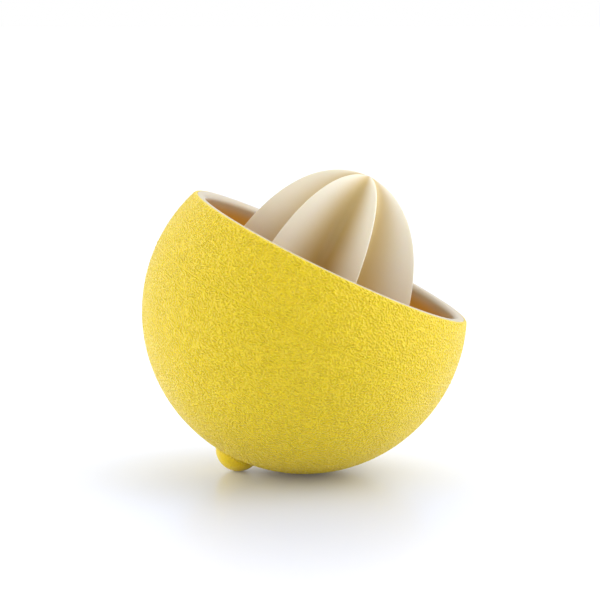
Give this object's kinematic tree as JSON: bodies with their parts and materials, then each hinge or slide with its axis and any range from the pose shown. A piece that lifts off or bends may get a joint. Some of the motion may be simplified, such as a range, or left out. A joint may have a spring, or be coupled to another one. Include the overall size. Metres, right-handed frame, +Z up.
{
  "type": "citrus squeezer bowl",
  "caption": "Ball-shaped silicone citrus squeezer bowl with a hard inner bowl and a lift-out ribbed reamer with a strainer ring; it leans on a small nub.",
  "frame": {"origin": "point of the table that the ball-shaped bowl rests on, under the ball's centre", "axes": "+Z up from the table; the bowl's own axis leans 25.5 degrees from +Z towards +X, and the nub touches the table on the -X side; the XZ plane is the plane of the lean"},
  "size_m": [0.1049, 0.1052, 0.0985],
  "materials": {
    "silicone": "matte moulded silicone with a fine peel grain",
    "bowl_plastic": "satin moulded plastic",
    "reamer_plastic": "satin moulded plastic"
  },
  "bodies": {
    "bowl": {"silicone_bowl": "silicone", "inner_bowl": "bowl_plastic"},
    "insert": {"reamer": "reamer_plastic"}
  },
  "joints": [
    {"name": "insert_lift", "type": "slide", "parent": "bowl", "child": "insert", "axis": [0.4305, 0, 0.9026], "range_m": [0, 0.055]}
  ]
}
